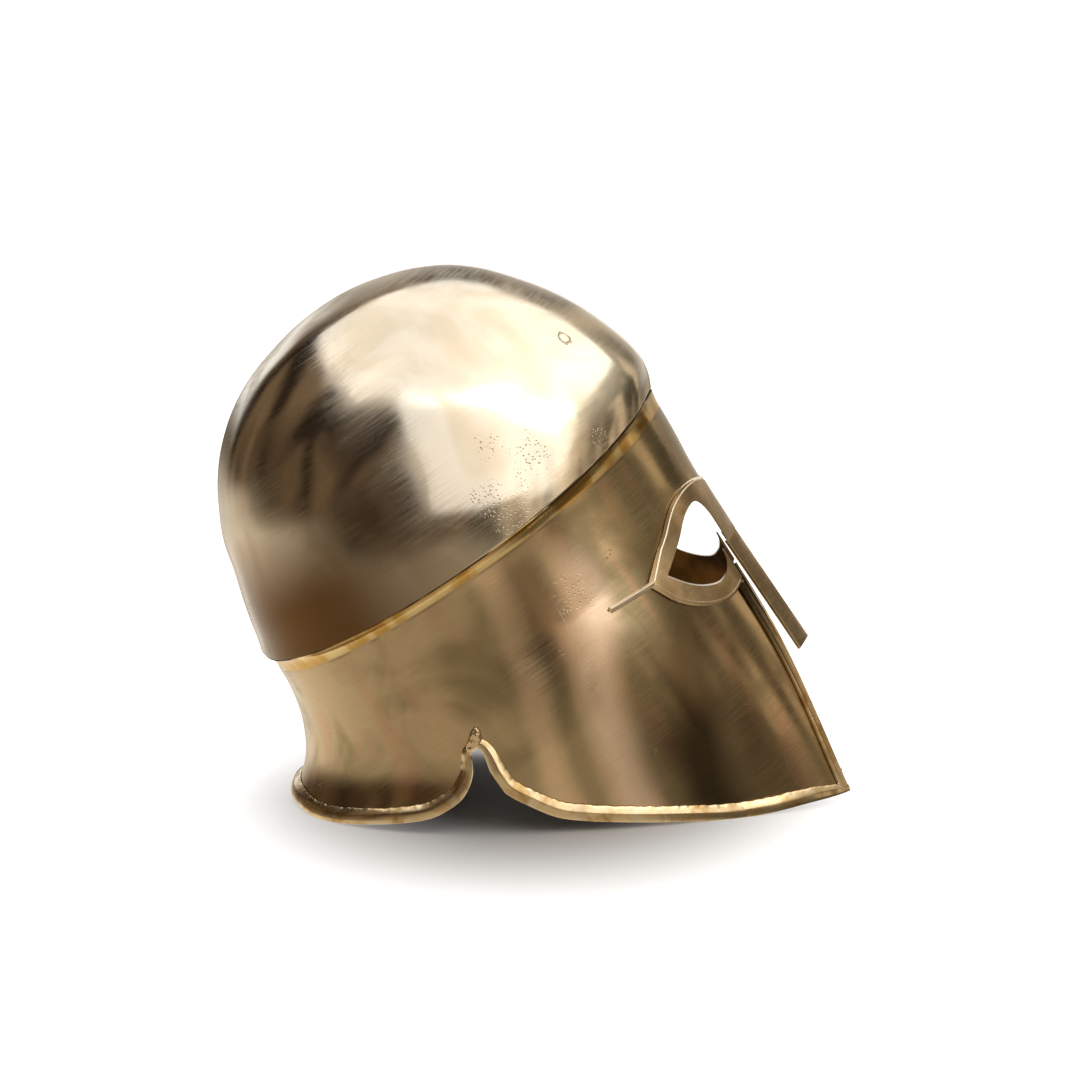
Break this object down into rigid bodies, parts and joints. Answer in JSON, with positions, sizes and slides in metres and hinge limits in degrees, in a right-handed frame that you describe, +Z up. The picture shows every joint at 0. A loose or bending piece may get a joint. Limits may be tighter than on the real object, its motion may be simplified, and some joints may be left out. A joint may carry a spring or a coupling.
{
  "type": "corinthian helmet",
  "caption": "Closed brass helmet with a raised crown, almond eye openings in raised frames, a free nasal guard, long cheek plates and a flared neck guard",
  "frame": {"origin": "middle of the ground footprint, on the ground plane", "axes": "+X the way the face points, +Y to the wearer's left, +Z up; the helmet leans back on its rims"},
  "size_m": [0.3168, 0.1928, 0.266],
  "materials": {
    "crown_brass": "polished, lightly tarnished, with fine pits and polishing lines",
    "face_brass": "polished over an olive brown patina",
    "rim_brass": "bright polished golden edge"
  },
  "bodies": {
    "root": {"crown_bowl": "crown_brass", "face_and_neck_shell": "face_brass", "nasal_guard": "face_brass", "eye_rim_left": "face_brass", "eye_rim_right": "face_brass", "neck_rim": "rim_brass", "cheek_rim_left": "rim_brass", "cheek_rim_right": "rim_brass"}
  },
  "joints": []
}
